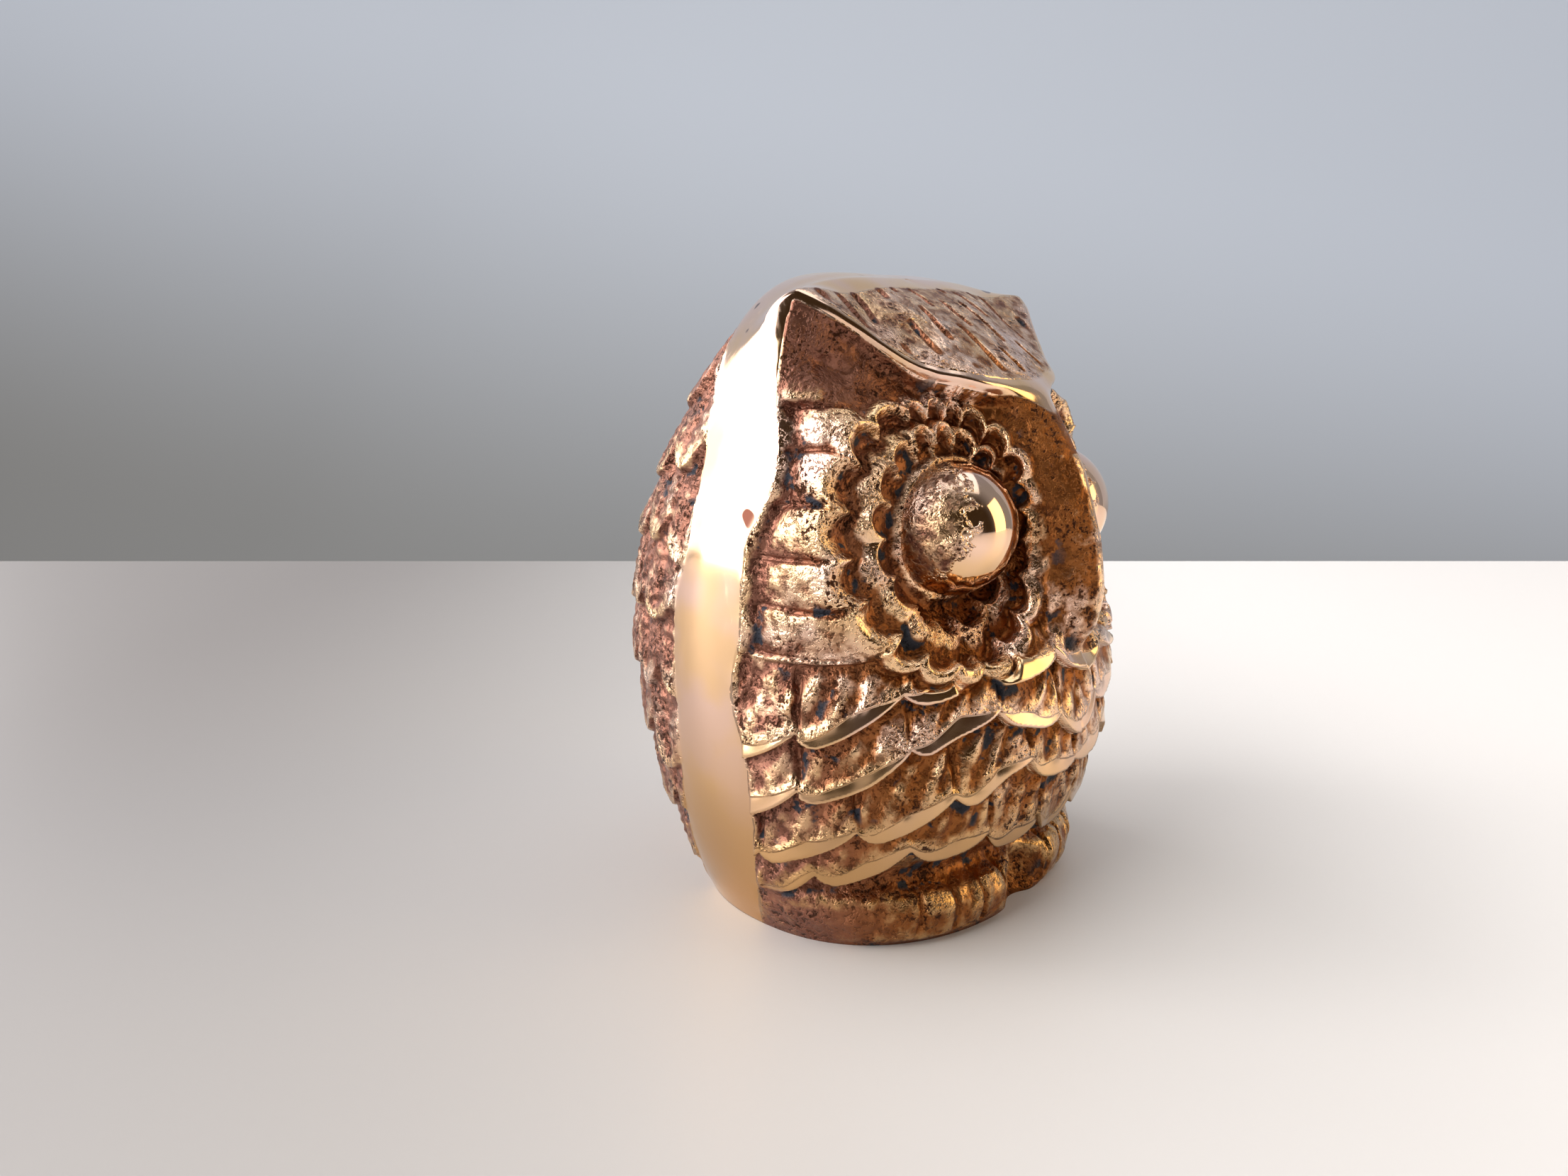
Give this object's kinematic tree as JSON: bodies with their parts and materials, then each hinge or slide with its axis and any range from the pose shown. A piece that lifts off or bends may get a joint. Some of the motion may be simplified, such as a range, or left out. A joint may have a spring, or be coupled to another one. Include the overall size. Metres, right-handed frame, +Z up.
{
  "type": "owl figurine",
  "caption": "Free-standing cast brass owl with domed eyes, a smooth side band, feathered chest and back, and a felt base.",
  "frame": {"origin": "on the resting surface, under the middle of the owl's bounding box", "axes": "+Z up, the owl faces -Y and its left side is +X"},
  "size_m": [0.049, 0.047, 0.0585],
  "materials": {
    "face_brass": "sand-cast brass, high spots polished to a mirror, pitted grain and dark patina in the recesses",
    "back_brass": "sand-cast brass, softly polished feathers with dark patina between them",
    "eye_brass": "polished brass dome with fine pits on one side",
    "plate_brass": "plain rolled brass, dull",
    "felt": "dark green felt"
  },
  "bodies": {
    "root": {"front_casting": "face_brass", "back_casting": "back_brass", "right_eye": "eye_brass", "left_eye": "eye_brass", "base_plate": "plate_brass", "felt_pad": "felt"}
  },
  "joints": []
}
